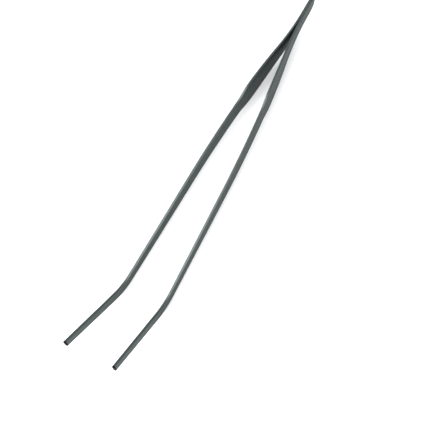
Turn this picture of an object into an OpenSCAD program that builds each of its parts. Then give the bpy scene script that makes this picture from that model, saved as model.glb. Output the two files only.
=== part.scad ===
// Long spring tongs for small crucibles: two steel strips welded face to face at the heel,
// bowed apart, leaf-shaped where the fingers press, and bent up edgewise at the jaws.
//
// The strip is laid out in heel coordinates: X runs from the heel end to the jaw tips, Y is
// the direction in which the tongs open, and Z is the width of the strip. set_on_bench()
// then pitches the tongs until the grips and the bends rest on Z = 0, and centres them in X.

/* [Strip] */
// Thickness of each steel strip
strip_t = 1.5; // [1:0.1:1.8]

/* [Heel] */
// Length over which the two strips lie face to face
heel_len = 17; // [16:0.5:22]
// Width of the strip at the heel
heel_w = 8.2; // [6:0.1:9]
// Length of the rounded heel end
heel_round = 13; // [8:1:16]
// Length over which the heel is ground down to its nose, seen from above
nose_len = 6; // [4:1:11]
// Thickness of each strip at the very end of the nose
nose_t = 0.8; // [0.4:0.1:1]

/* [Bow] */
// Length over which each strip curves away from the other
spread_len = 45; // [35:1:55]
// Steepest angle of each strip to the centre plane
spread_angle = 6.95; // [5:0.05:8]
// Distance from the heel end at which the strips run straight again
bow_end = 181; // [160:1:200]
// Angle of each straight shank to the centre plane
shank_angle = 1.2; // [0.5:0.1:2]

/* [Grip] */
// Distance from the heel end to the widest place of the grip
grip_x = 99; // [85:1:105]
// Width of the grip at its widest place
grip_w = 15; // [12:0.5:18]
// Distance from the heel end to the neck, where the grip ends
neck_x = 117; // [108:1:130]
// Width of the strip at the neck
neck_w = 10.3; // [8:0.1:11]

/* [Jaw] */
// Distance from the heel end to the start of the edgewise bend
bend_x = 250; // [230:1:260]
// Width of the strip where the bend starts
bend_w = 5.8; // [4:0.1:6.5]
// Radius of the bend, to the middle of the strip
bend_r = 32; // [25:1:45]
// Angle through which the jaws are bent up
jaw_angle = 31; // [20:1:45]
// Length of the straight jaw beyond the bend
jaw_len = 42.5; // [35:0.5:60]
// Width of the strip at the tip
tip_w = 4; // [2.4:0.1:4.5]
// Angle by which the tip is cut back at its lower corner
tip_cut = 25; // [0:1:28]

/* [Flexure] */
// Distance from the heel end to the line about which each arm springs
flex_x = 38; // [30:1:45]
// Clearance between the fixed root and the springing arm
flex_gap = 0.2; // [0.1:0.05:0.4]

/* [Spot welds] */
// Diameter of each weld nugget
weld_d = 3; // [2:0.5:3]
// Depth of each weld nugget across the joint between the strips
weld_t = 1; // [0.6:0.1:1]
// Distance from the heel end to the rear weld
weld_x = 5.5; // [5:0.5:6]
// Distance from one weld to the next
weld_pitch = 4; // [3.5:0.25:4]

/* [Hidden] */

$fn = 64;
STEEL = "#58615f";
WELD_STEEL = "#6d7270";

// Number of chords along a curved stretch of an outline
CURVE_STEPS = 20;
// Size of the blocks that trim the strip, larger than the tongs
TRIM = 400;

// From a to b as u goes from 0 to 1, evenly with mix and slow at both ends with ease
function mix(a, b, u) = a + (b - a) * u;
function ease(u) = (1 - cos(180 * u)) / 2;

// Plan: the spread curves outwards, and the bow curves back to the straight shank.
spread_r = spread_len / sin(spread_angle);
spread_end = [heel_len + spread_len, strip_t / 2 + spread_r * (1 - cos(spread_angle))];
bow_r = (bow_end - spread_end.x) / (sin(spread_angle) - sin(shank_angle));
bow_y = spread_end.y + bow_r * (cos(shank_angle) - cos(spread_angle));

// Point of the strip's centre line on the spread, at a given angle to the centre plane
function spread_point(angle) =
    [heel_len + spread_r * sin(angle), strip_t / 2 + spread_r * (1 - cos(angle))];

// Point of the centre line on the bow, at a given angle to the centre plane
function bow_point(angle) =
    [bow_end - bow_r * (sin(angle) - sin(shank_angle)), bow_y + bow_r * (cos(angle) - cos(shank_angle))];

// Point of the centre line on the straight shank and jaw, at a given distance from the heel end
function shank_point(x) = [x, bow_y + (x - bow_end) * tan(shank_angle)];

// A point beside the centre line: offset along the normal of a line at a given angle
function beside(point, angle, offset) = point + offset * [-sin(angle), cos(angle)];

// The inner face of the strip starts straight, on the joint plane between the strips.
inner_start = [[-1, 0]];

// The outer face starts with the ground nose.
outer_start = concat(
    [[-1, nose_t]],
    [for (i = [0:CURVE_STEPS]) let (a = 90 * i / CURVE_STEPS)
        [nose_len * (1 - cos(a)), mix(nose_t, strip_t, sin(a))]]
);

// One long face of the strip in plan, from its start at the heel to past the tip
function plan_face(start, offset) = concat(
    start,
    [for (i = [0:CURVE_STEPS]) let (a = spread_angle * i / CURVE_STEPS)
        beside(spread_point(a), a, offset)],
    [for (i = [1:CURVE_STEPS]) let (a = spread_angle + (shank_angle - spread_angle) * i / CURVE_STEPS)
        beside(bow_point(a), a, offset)],
    [beside(shank_point(TRIM), shank_angle, offset)]
);

// Elevation: half the width of the strip at a given distance from the heel end, up to the bend
function half_width(x) =
    x < heel_len ? heel_w / 2 :
    x < grip_x ? mix(heel_w, grip_w, ease((x - heel_len) / (grip_x - heel_len))) / 2 :
    x < neck_x ? mix(grip_w, neck_w, ease((x - grip_x) / (neck_x - grip_x))) / 2 :
    mix(neck_w, bend_w, (x - neck_x) / (bend_x - neck_x)) / 2;

// The bend and the jaw: the width tapers evenly along both
bend_len = bend_r * jaw_angle * PI / 180;
function jaw_half_width(s) = mix(bend_w, tip_w, s / (bend_len + jaw_len)) / 2;
function bend_point(angle) = [bend_x + bend_r * sin(angle), bend_r * (1 - cos(angle))];
jaw_direction = [cos(jaw_angle), sin(jaw_angle)];
tip = bend_point(jaw_angle) + jaw_len * jaw_direction;

// Corner of the slanting tip; side is 1 for the upper corner and -1 for the lower
function tip_corner(side) =
    beside(tip, jaw_angle, side * tip_w / 2) + side * tip_w / 2 * tan(tip_cut) * jaw_direction;

// One edge of the strip in elevation; side is 1 for the upper edge and -1 for the lower
function edge(side) = concat(
    [for (i = [0:CURVE_STEPS]) let (a = 90 * i / CURVE_STEPS)
        [heel_round * (1 - cos(a)), side * heel_w / 2 * sin(a)]],
    [for (i = [0:CURVE_STEPS]) let (x = mix(heel_len, grip_x, i / CURVE_STEPS)) [x, side * half_width(x)]],
    [for (i = [1:CURVE_STEPS]) let (x = mix(grip_x, neck_x, i / CURVE_STEPS)) [x, side * half_width(x)]],
    [for (i = [0:CURVE_STEPS]) let (a = jaw_angle * i / CURVE_STEPS)
        beside(bend_point(a), a, side * jaw_half_width(bend_len * i / CURVE_STEPS))],
    [tip_corner(side)]
);

function reversed(list) = [for (i = [len(list) - 1:-1:0]) list[i]];
function without_first(list) = [for (i = [1:len(list) - 1]) list[i]];

// The line about which an arm springs, on the left strip
flex_angle = asin((flex_x - heel_len) / spread_r);
flex_point = spread_point(flex_angle);

// Rest: the lower edges of the grips and of the bends touch the bench
pitch = atan((grip_w - bend_w) / 2 / (bend_x - grip_x));
rest_h = grip_x * sin(pitch) + grip_w / 2 * cos(pitch);
mid_x = (tip_corner(-1).x * cos(pitch) + tip_corner(-1).y * sin(pitch)) / 2;

module set_on_bench() {
    translate([-mid_x, 0, rest_h]) rotate([0, pitch, 0]) children();
}

// Keeps the left strip, or mirrors it into the right one
module on_side(side) {
    if (side > 0) children();
    else mirror([0, 1, 0]) children();
}

// The whole left strip, from the heel end to the jaw tip
module strip() {
    intersection() {
        linear_extrude(height = TRIM, center = true)
            polygon(concat(
                plan_face(inner_start, -strip_t / 2),
                reversed(plan_face(outer_start, strip_t / 2))
            ));
        rotate([90, 0, 0])
            linear_extrude(height = TRIM, center = true)
                polygon(concat(edge(-1), reversed(without_first(edge(1)))));
    }
}

// Everything on the heel side of the flexure, or on the jaw side of it
module heel_side() {
    translate(flex_point) rotate(flex_angle)
        translate([-TRIM - flex_gap / 2, -TRIM / 2, -TRIM / 2]) cube(TRIM);
}

module jaw_side() {
    translate(flex_point) rotate(flex_angle)
        translate([flex_gap / 2, -TRIM / 2, -TRIM / 2]) cube(TRIM);
}

// A weld nugget lies across the joint plane, half in each strip
module nugget(index) {
    translate([weld_x + index * weld_pitch, 0, 0])
        rotate([90, 0, 0]) cylinder(h = weld_t, d = weld_d, center = true);
}

module heel_leaf(side) {
    color(STEEL) set_on_bench() difference() {
        on_side(side) intersection() {
            strip();
            heel_side();
        }
        for (index = [0:2]) nugget(index);
    }
}

module arm(side) {
    color(STEEL) set_on_bench() on_side(side) intersection() {
        strip();
        jaw_side();
    }
}

module spot_weld(index) {
    color(WELD_STEEL) set_on_bench() nugget(index);
}

arm(1);  // left_arm
arm(-1);  // right_arm
heel_leaf(1);  // left_heel_leaf
heel_leaf(-1);  // right_heel_leaf
spot_weld(0);  // rear_spot_weld
spot_weld(1);  // middle_spot_weld
spot_weld(2);  // front_spot_weld
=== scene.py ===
"""Long spring tongs for small crucibles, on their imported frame: satin grey steel on a pale bench."""

import math

import bpy
from mathutils import Matrix, Vector


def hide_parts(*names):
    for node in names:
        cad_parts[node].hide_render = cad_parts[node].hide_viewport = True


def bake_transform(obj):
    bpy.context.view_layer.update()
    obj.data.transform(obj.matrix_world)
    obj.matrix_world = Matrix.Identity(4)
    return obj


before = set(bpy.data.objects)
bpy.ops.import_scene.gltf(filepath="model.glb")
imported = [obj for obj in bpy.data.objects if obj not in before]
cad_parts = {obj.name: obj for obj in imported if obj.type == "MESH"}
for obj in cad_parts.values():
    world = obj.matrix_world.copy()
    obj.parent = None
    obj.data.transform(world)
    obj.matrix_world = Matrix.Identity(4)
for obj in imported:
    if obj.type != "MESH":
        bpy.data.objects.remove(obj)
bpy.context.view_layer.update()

MM = 0.001

# ---------------------------------------------------------------------------------------------
# The strip, in millimetres, in heel coordinates: X from the heel end to the tips, Y across the
# opening, Z along the width of the strip. These are the CAD model's own dimensions.
# ---------------------------------------------------------------------------------------------
STRIP_T = 1.5
HEEL_LEN, HEEL_W, HEEL_ROUND = 17.0, 8.2, 13.0
NOSE_LEN, NOSE_T = 6.0, 0.8
SPREAD_LEN, SPREAD_ANGLE = 45.0, math.radians(6.95)
BOW_END, SHANK_ANGLE = 181.0, math.radians(1.2)
GRIP_X, GRIP_W = 99.0, 15.0
NECK_X, NECK_W = 117.0, 10.3
BEND_X, BEND_W, BEND_R = 250.0, 5.8, 32.0
JAW_ANGLE, JAW_LEN, TIP_W = math.radians(31.0), 42.5, 4.0
TIP_SLANT = math.tan(math.radians(25.0))

# Rounding of the arrises: the outer face is dressed for the fingers, the inner one only deburred
OUTER_ROUND, INNER_ROUND = 0.20, 0.10
# The largest share of the section's half width or thickness that a rounding may take
OUTER_SHARE, INNER_SHARE = 0.45, 0.30
# The seam left between the strips at the heel
SEAM = 0.02
# The cut tip: the length and the depth of its bevel, how far the near-black painted shade at the cut
# reaches, and how far the tip stays short of the CAD model's own end
TIP_BEVEL, TIP_INSET, TIP_PAINTED_SHADE, TIP_SHORT = 0.08, 0.064, 0.9, 0.02

# Mesh density along the strip, one part after the other, and around its section
HEEL_STEPS, ROOT_STEPS, SHANK_STEPS, BEND_STEPS, JAW_STEPS = 22, 46, 66, 14, 22
ARC_STEPS, FACE_STEPS = 4, 6
# Points on one broad face of a section with its two arrises, and on the whole section
HALF_RING = 2 * (ARC_STEPS + 1) + FACE_STEPS - 1
RING = 2 * HALF_RING
# The heel's round starts at this angle, in degrees, so that its very end is blunt
FIRST_TURN = 5.0
# Near-black painted shade, standing in for the shadowed cut end, covers the bands of faces from the end of
# the jaw rows to the cut
PAINTED_SHADE_BANDS = 2
# Material slots of the strip
STEEL_SLOT, PAINTED_SHADE_SLOT = 0, 1
# Shift between the two broad faces in the grain's map, so that they don't show the same grain
FACE_SHIFT = 20.0

SPREAD_R = SPREAD_LEN / math.sin(SPREAD_ANGLE)
SPREAD_END_X = HEEL_LEN + SPREAD_LEN
SPREAD_END_Y = STRIP_T / 2 + SPREAD_R * (1 - math.cos(SPREAD_ANGLE))
BOW_R = (BOW_END - SPREAD_END_X) / (math.sin(SPREAD_ANGLE) - math.sin(SHANK_ANGLE))
BOW_Y = SPREAD_END_Y + BOW_R * (math.cos(SHANK_ANGLE) - math.cos(SPREAD_ANGLE))
BEND_LEN = BEND_R * JAW_ANGLE

PITCH = math.atan((GRIP_W - BEND_W) / 2 / (BEND_X - GRIP_X))
REST_H = GRIP_X * math.sin(PITCH) + GRIP_W / 2 * math.cos(PITCH)
TIP_X = BEND_X + BEND_R * math.sin(JAW_ANGLE) + JAW_LEN * math.cos(JAW_ANGLE)
TIP_Z = BEND_R * (1 - math.cos(JAW_ANGLE)) + JAW_LEN * math.sin(JAW_ANGLE)
# The lower corner of the slanting tip, which lies farthest from the heel
TIP_CORNER_X = TIP_X + (math.sin(JAW_ANGLE) - TIP_SLANT * math.cos(JAW_ANGLE)) * TIP_W / 2
TIP_CORNER_Z = TIP_Z - (math.cos(JAW_ANGLE) + TIP_SLANT * math.sin(JAW_ANGLE)) * TIP_W / 2
MID_X = (TIP_CORNER_X * math.cos(PITCH) + TIP_CORNER_Z * math.sin(PITCH)) / 2


def on_bench(x, y, z):
    """A point in heel coordinates, in millimetres, as a vector in the shared frame, in metres."""
    return Vector((
        x * math.cos(PITCH) + z * math.sin(PITCH) - MID_X,
        y,
        -x * math.sin(PITCH) + z * math.cos(PITCH) + REST_H,
    )) * MM


def mix(a, b, u):
    """From a to b as u goes from 0 to 1."""
    return a + (b - a) * u


def ease(u):
    """From 0 to 1 as u does, but slow at both ends."""
    return (1 - math.cos(math.pi * u)) / 2


def centre_line(x):
    """Y of the strip's centre line and its angle to the centre plane, seen from above."""
    if x < HEEL_LEN:
        return STRIP_T / 2, 0.0
    if x < SPREAD_END_X:
        angle = math.asin((x - HEEL_LEN) / SPREAD_R)
        return STRIP_T / 2 + SPREAD_R * (1 - math.cos(angle)), angle
    if x < BOW_END:
        angle = math.asin(math.sin(SHANK_ANGLE) + (BOW_END - x) / BOW_R)
        return BOW_Y + BOW_R * (math.cos(angle) - math.cos(SHANK_ANGLE)), angle
    return BOW_Y + (x - BOW_END) * math.tan(SHANK_ANGLE), SHANK_ANGLE


def half_width(x):
    """Half the strip's width, up to the bend."""
    if x < HEEL_ROUND:
        return HEEL_W / 2 * math.sqrt(1 - (1 - x / HEEL_ROUND) ** 2)
    if x < HEEL_LEN:
        return HEEL_W / 2
    if x < GRIP_X:
        return mix(HEEL_W, GRIP_W, ease((x - HEEL_LEN) / (GRIP_X - HEEL_LEN))) / 2
    if x < NECK_X:
        return mix(GRIP_W, NECK_W, ease((x - GRIP_X) / (NECK_X - GRIP_X))) / 2
    return mix(NECK_W, BEND_W, (x - NECK_X) / (BEND_X - NECK_X)) / 2


def thickness(x):
    """Thickness of the strip, ground down to the nose at the heel end."""
    if x < NOSE_LEN:
        return mix(NOSE_T, STRIP_T, math.sqrt(1 - (1 - x / NOSE_LEN) ** 2))
    return STRIP_T


def stations():
    """Cross-sections along the strip: centre, along, width direction, half width, inner and outer
    offset from the centre line, and the length run from the heel end."""
    turns = [math.radians(mix(FIRST_TURN, 90, i / HEEL_STEPS)) for i in range(HEEL_STEPS)]
    xs = [HEEL_ROUND * (1 - math.cos(turn)) for turn in turns]
    xs += [mix(HEEL_ROUND, NECK_X, i / ROOT_STEPS) for i in range(ROOT_STEPS)]
    xs += [mix(NECK_X, BEND_X, i / SHANK_STEPS) for i in range(SHANK_STEPS)]
    rows = []
    for x in xs:
        y, angle = centre_line(x)
        along = Vector((math.cos(angle), math.sin(angle), 0))
        inner = -STRIP_T / 2 + (SEAM / 2 if x <= HEEL_LEN else 0)
        outer = thickness(x) - STRIP_T / 2
        rows.append((Vector((x, y, 0)), along, Vector((0, 0, 1)), half_width(x), inner, outer, x))
    end = JAW_LEN - TIP_SHORT
    jaw = [(JAW_ANGLE * i / BEND_STEPS, 0.0) for i in range(BEND_STEPS + 1)]
    jaw += [(JAW_ANGLE, (end - TIP_PAINTED_SHADE) * i / JAW_STEPS) for i in range(1, JAW_STEPS + 1)]
    jaw += [(JAW_ANGLE, end - TIP_BEVEL), (JAW_ANGLE, end)]
    for angle, reach in jaw:
        x = BEND_X + BEND_R * math.sin(angle) + reach * math.cos(angle)
        z = BEND_R * (1 - math.cos(angle)) + reach * math.sin(angle)
        run = BEND_R * angle + reach
        y, plan = centre_line(x)
        along = Vector((math.cos(angle) * math.cos(plan), math.cos(angle) * math.sin(plan), math.sin(angle)))
        # The sections lean over little by little along the front half of the jaw, up to the slanting cut.
        slant = TIP_SLANT * max(0.0, reach - JAW_LEN / 2) / (JAW_LEN / 2)
        lean = slant * math.cos(angle) - math.sin(angle)
        across = Vector((lean, lean * math.tan(plan), slant * math.sin(angle) + math.cos(angle)))
        half = mix(BEND_W, TIP_W, run / (BEND_LEN + JAW_LEN)) / 2
        inset = TIP_INSET if reach == end else 0.0
        rows.append((
            Vector((x, y, z)), along, across, half - inset,
            -STRIP_T / 2 + inset, STRIP_T / 2 - inset, BEND_X + run,
        ))
    return rows


def half_profile(half, face, radius, outward):
    """One broad face of a cross-section with its two rounded arrises: (across, through) pairs."""
    flat = half - radius
    arc = []
    for i in range(ARC_STEPS + 1):
        turn = math.pi / 2 * i / ARC_STEPS
        arc.append((flat + radius * math.sin(turn), face - outward * radius * (1 - math.cos(turn))))
    lower_arc = [(-across, through) for across, through in reversed(arc)]
    middle = [(mix(-flat, flat, i / FACE_STEPS), face) for i in range(1, FACE_STEPS)]
    return lower_arc + middle + arc


def strip_faces(row_count):
    """Faces that join one section to the next and close both ends, each with its slot and its shading."""
    faces, slots, smooth = [], [], []
    for i in range(row_count - 1):
        # The last bands before the cut get the near-black painted shade.
        slot = PAINTED_SHADE_SLOT if i >= row_count - 1 - PAINTED_SHADE_BANDS else STEEL_SLOT
        a, b = i * RING, (i + 1) * RING
        for k in range(RING):
            n = (k + 1) % RING
            faces.append((a + k, a + n, b + n, b + k))
            slots.append(slot)
            smooth.append(True)
    last = (row_count - 1) * RING
    for k in range(HALF_RING - 1):
        other = RING - 1 - k
        faces.append((k, other, other - 1, k + 1))
        faces.append((last + k, last + k + 1, last + other - 1, last + other))
        # The heel end stays steel, and the tip's cut face gets the painted shade.
        slots += [STEEL_SLOT, PAINTED_SHADE_SLOT]
        smooth += [False, False]
    return faces, slots, smooth


def strip_mesh(name, side):
    """The whole strip, from the heel end to the jaw tip. side is 1 for the left and -1 for the right."""
    rows = stations()
    verts, uvs, arris, edge = [], [], [], []
    for centre, along, across, half, inner, outer, run in rows:
        through = Vector((-along.y, along.x, 0)).normalized()
        depth = outer - inner
        outer_radius = min(OUTER_ROUND, half * OUTER_SHARE, depth * OUTER_SHARE)
        inner_radius = min(INNER_ROUND, half * INNER_SHARE, depth * INNER_SHARE)
        outer_half = half_profile(half, outer, outer_radius, 1)
        inner_half = half_profile(half, inner, inner_radius, -1)
        section = outer_half + inner_half[::-1]
        for k, (u, n) in enumerate(section):
            point = centre + across * u + through * n
            verts.append(on_bench(point.x, side * point.y, point.z))
            j = k if k < HALF_RING else RING - 1 - k
            on_arc = j <= ARC_STEPS or j >= HALF_RING - 1 - ARC_STEPS
            arris.append(1.0 if on_arc else 0.0)
            edge.append(1.0 if j in (0, HALF_RING - 1) else 0.0)
            shift = FACE_SHIFT if k < HALF_RING else -FACE_SHIFT
            uvs.append((run * MM, (u + shift) * MM))
    faces, slots, smooth = strip_faces(len(rows))
    if side > 0:
        faces = [face[::-1] for face in faces]
    mesh = bpy.data.meshes.new(name)
    mesh.from_pydata([tuple(v) for v in verts], [], faces)
    layer = mesh.uv_layers.new(name="Strip")
    for loop in mesh.loops:
        layer.data[loop.index].uv = uvs[loop.vertex_index]
    for attribute, values in (("arris", arris), ("edge", edge)):
        mesh.attributes.new(attribute, "FLOAT", "POINT").data.foreach_set("value", values)
    for polygon, slot, is_smooth in zip(mesh.polygons, slots, smooth):
        polygon.material_index = slot
        polygon.use_smooth = is_smooth
    mesh.validate()
    mesh.update()
    obj = bpy.data.objects.new(name, mesh)
    bpy.context.scene.collection.objects.link(obj)
    normals = obj.modifiers.new("even_normals", "WEIGHTED_NORMAL")
    normals.weight = 60
    normals.keep_sharp = True
    return obj


# ---------------------------------------------------------------------------------------------
# Materials
# ---------------------------------------------------------------------------------------------
def new_material(name):
    """A new material, with its node tree and its shader."""
    material = bpy.data.materials.new(name)
    material.use_nodes = True
    tree = material.node_tree
    shader = tree.nodes["Principled BSDF"]
    return material, tree, shader


def add(tree, kind, inputs=None, **settings):
    """A node with its settings, and its inputs given as values or as sockets to link from."""
    node = tree.nodes.new(kind)
    for key, value in settings.items():
        setattr(node, key, value)
    for key, value in (inputs or {}).items():
        if isinstance(value, bpy.types.NodeSocket):
            tree.links.new(value, node.inputs[key])
        else:
            node.inputs[key].default_value = value
    return node


def colour_ramp(tree, factor, *stops):
    """A ramp between two (position, colour) stops, as a colour socket."""
    node = add(tree, "ShaderNodeValToRGB", {"Fac": factor})
    for element, (position, colour) in zip(node.color_ramp.elements, stops):
        element.position = position
        element.color = colour
    return node.outputs["Color"]


def steel_material():
    """Satin grey strip steel: cross grain on the faces, lengthwise grain on the edges, dull arrises."""
    material, tree, shader = new_material("satin_steel")
    uv = add(tree, "ShaderNodeUVMap", uv_map="Strip").outputs["UV"]
    edge = add(tree, "ShaderNodeAttribute", attribute_name="edge").outputs["Fac"]
    arris = add(tree, "ShaderNodeAttribute", attribute_name="arris").outputs["Fac"]

    def streaks(scale, detail):
        """Noise with its scale, per metre, along the strip and across it."""
        place = add(tree, "ShaderNodeMapping", {"Vector": uv, "Scale": scale})
        return add(tree, "ShaderNodeTexNoise", {
            "Vector": place.outputs["Vector"], "Scale": 1.0, "Detail": detail, "Roughness": 0.6,
        }).outputs["Fac"]

    across = streaks((1500, 160, 1), 4.0)
    lengthwise = streaks((120, 3000, 1), 4.0)
    cloud = streaks((90, 130, 1), 3.0)
    grain = add(tree, "ShaderNodeMix", {"Factor": edge, "A": across, "B": lengthwise}, data_type="FLOAT")
    grain = grain.outputs["Result"]

    # The tone is mostly grain, with some slow clouding.
    tone = add(tree, "ShaderNodeMath", {0: grain, 1: 0.6}, operation="MULTIPLY").outputs[0]
    tone = add(tree, "ShaderNodeMath", {0: cloud, 1: 0.4, 2: tone}, operation="MULTIPLY_ADD").outputs[0]
    colour = colour_ramp(tree, tone, (0.30, (0.055, 0.065, 0.063, 1)), (0.70, (0.103, 0.117, 0.114, 1)))
    dulled = add(tree, "ShaderNodeMath", {0: arris, 1: cloud}, operation="MULTIPLY").outputs[0]
    base = add(tree, "ShaderNodeMix", {"Factor": dulled, "B": (0.070, 0.081, 0.079, 1)}, data_type="RGBA")
    tree.links.new(colour, base.inputs["A"])
    tree.links.new(base.outputs["Result"], shader.inputs["Base Color"])

    rough = add(tree, "ShaderNodeMapRange", {
        "Value": tone, "From Min": 0.3, "From Max": 0.7, "To Min": 0.30, "To Max": 0.41,
    })
    tree.links.new(rough.outputs["Result"], shader.inputs["Roughness"])
    bump = add(tree, "ShaderNodeBump", {"Height": grain, "Strength": 0.25, "Distance": 0.00003})
    tree.links.new(bump.outputs["Normal"], shader.inputs["Normal"])
    shader.inputs["Metallic"].default_value = 1.0
    shader.inputs["Specular Tint"].default_value = (0.58, 0.60, 0.60, 1)
    return material


def painted_tip_shade_material():
    """Painted shade for the cut tips: near black, rough and unpolished, standing in for the end in shadow.
    """
    material, tree, shader = new_material("painted_shade_tip")
    place = add(tree, "ShaderNodeTexCoord").outputs["Object"]
    speck = add(tree, "ShaderNodeTexNoise", {"Vector": place, "Scale": 4000.0, "Detail": 3.0}).outputs["Fac"]
    colour = colour_ramp(tree, speck, (0.35, (0.001, 0.001, 0.001, 1)), (0.75, (0.006, 0.006, 0.006, 1)))
    tree.links.new(colour, shader.inputs["Base Color"])
    bump = add(tree, "ShaderNodeBump", {"Height": speck, "Strength": 0.5, "Distance": 0.00005})
    tree.links.new(bump.outputs["Normal"], shader.inputs["Normal"])
    shader.inputs["Specular IOR Level"].default_value = 0.1
    shader.inputs["Roughness"].default_value = 0.75
    return material


def weld_material():
    """Cast grain of a weld nugget."""
    material, tree, shader = new_material("weld_nugget")
    place = add(tree, "ShaderNodeTexCoord").outputs["Object"]
    cells = add(tree, "ShaderNodeTexVoronoi", {"Vector": place, "Scale": 2500.0}).outputs["Distance"]
    colour = colour_ramp(tree, cells, (0.0, (0.22, 0.22, 0.21, 1)), (1.0, (0.12, 0.12, 0.125, 1)))
    tree.links.new(colour, shader.inputs["Base Color"])
    shader.inputs["Metallic"].default_value = 1.0
    shader.inputs["Roughness"].default_value = 0.55
    return material


steel = steel_material()
# Near-black painted shade for the cut tips, standing in for their shadowed ends.
tip_shade_paint = painted_tip_shade_material()

for side, prefix in ((1, "left"), (-1, "right")):
    strip = strip_mesh(f"{prefix}_strip", side)
    strip.data.materials.append(steel)
    # The second slot is the near-black painted shade at the cut tips.
    strip.data.materials.append(tip_shade_paint)
    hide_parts(f"{prefix}_heel_leaf", f"{prefix}_arm")
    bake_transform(strip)

weld = weld_material()
for node_name in ("rear_spot_weld", "middle_spot_weld", "front_spot_weld"):
    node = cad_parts[node_name]
    node.data.materials.clear()
    node.data.materials.append(weld)


# ---------------------------------------------------------------------------------------------
# Floor, light and camera
# ---------------------------------------------------------------------------------------------
FLOOR_HALF = 12.0
FLOOR_DROP = 0.00005


def floor_material():
    """Plain pale bench top."""
    material, _, shader = new_material("pale_bench")
    shader.inputs["Base Color"].default_value = (0.90, 0.90, 0.90, 1)
    shader.inputs["Roughness"].default_value = 0.9
    shader.inputs["Specular IOR Level"].default_value = 0.1
    return material


floor_corners = [
    (x * FLOOR_HALF, y * FLOOR_HALF, -FLOOR_DROP)
    for x, y in ((-1, -1), (1, -1), (1, 1), (-1, 1))
]
floor_mesh = bpy.data.meshes.new("floor")
floor_mesh.from_pydata(floor_corners, [], [(0, 1, 2, 3)])
floor = bpy.data.objects.new("floor", floor_mesh)
floor.data.materials.append(floor_material())
bpy.context.scene.collection.objects.link(floor)


def direction(azimuth, elevation):
    """Unit vector at that azimuth, from -Y at 0 towards +X at 90, and that elevation, in degrees."""
    a, e = math.radians(azimuth), math.radians(elevation)
    return Vector((math.sin(a) * math.cos(e), -math.cos(a) * math.cos(e), math.sin(e)))


def softbox(name, azimuth, elevation, distance, side, radiance):
    """A square soft light of a given radiance, aimed at the middle of the tongs."""
    data = bpy.data.lights.new(name, "AREA")
    data.shape = "SQUARE"
    data.size = side
    data.energy = radiance * math.pi * side**2
    light = bpy.data.objects.new(name, data)
    towards = direction(azimuth, elevation)
    light.location = towards * distance
    light.rotation_mode = "QUATERNION"
    light.rotation_quaternion = towards.to_track_quat("Z", "Y")
    bpy.context.scene.collection.objects.link(light)


# The small overhead light draws the bright lines along the strips, and the others fill in evenly.
softbox("overhead", 327, 68, distance=1.25, side=0.28, radiance=14.0)
softbox("front_left", 68, 42, distance=1.4, side=1.2, radiance=2.8)
softbox("front_right", 112, 42, distance=1.4, side=1.2, radiance=2.8)
softbox("rear", 262, 38, distance=1.4, side=1.0, radiance=0.9)
world = bpy.data.worlds.new("studio")
world.use_nodes = True
world.node_tree.nodes["Background"].inputs["Color"].default_value = (0.97, 0.99, 1.0, 1)
world.node_tree.nodes["Background"].inputs["Strength"].default_value = 0.92
bpy.context.scene.world = world
bpy.context.scene.view_settings.view_transform = "Standard"

CAMERA_AZIMUTH, CAMERA_ELEVATION, CAMERA_ROLL = 124.14, 59.77, -8.85
CAMERA_LENS, CAMERA_DISTANCE = 46.34, 0.3401
CAMERA_TARGET = Vector((0.0409, 0.0121, 0.0))

camera_data = bpy.data.cameras.new("camera")
camera_data.sensor_width = 36
camera_data.lens = CAMERA_LENS
camera_data.clip_start, camera_data.clip_end = 0.01, 60
camera = bpy.data.objects.new("camera", camera_data)
bpy.context.scene.collection.objects.link(camera)
back = direction(CAMERA_AZIMUTH, CAMERA_ELEVATION)
level_right = Vector((0, 0, 1)).cross(back).normalized()
level_up = back.cross(level_right)
roll = math.radians(CAMERA_ROLL)
right = math.cos(roll) * level_right + math.sin(roll) * level_up
up = math.cos(roll) * level_up - math.sin(roll) * level_right
place = Matrix.Translation(CAMERA_TARGET + back * CAMERA_DISTANCE)
turn = Matrix((right, up, back)).transposed().to_4x4()
camera.matrix_world = place @ turn
bpy.context.scene.camera = camera
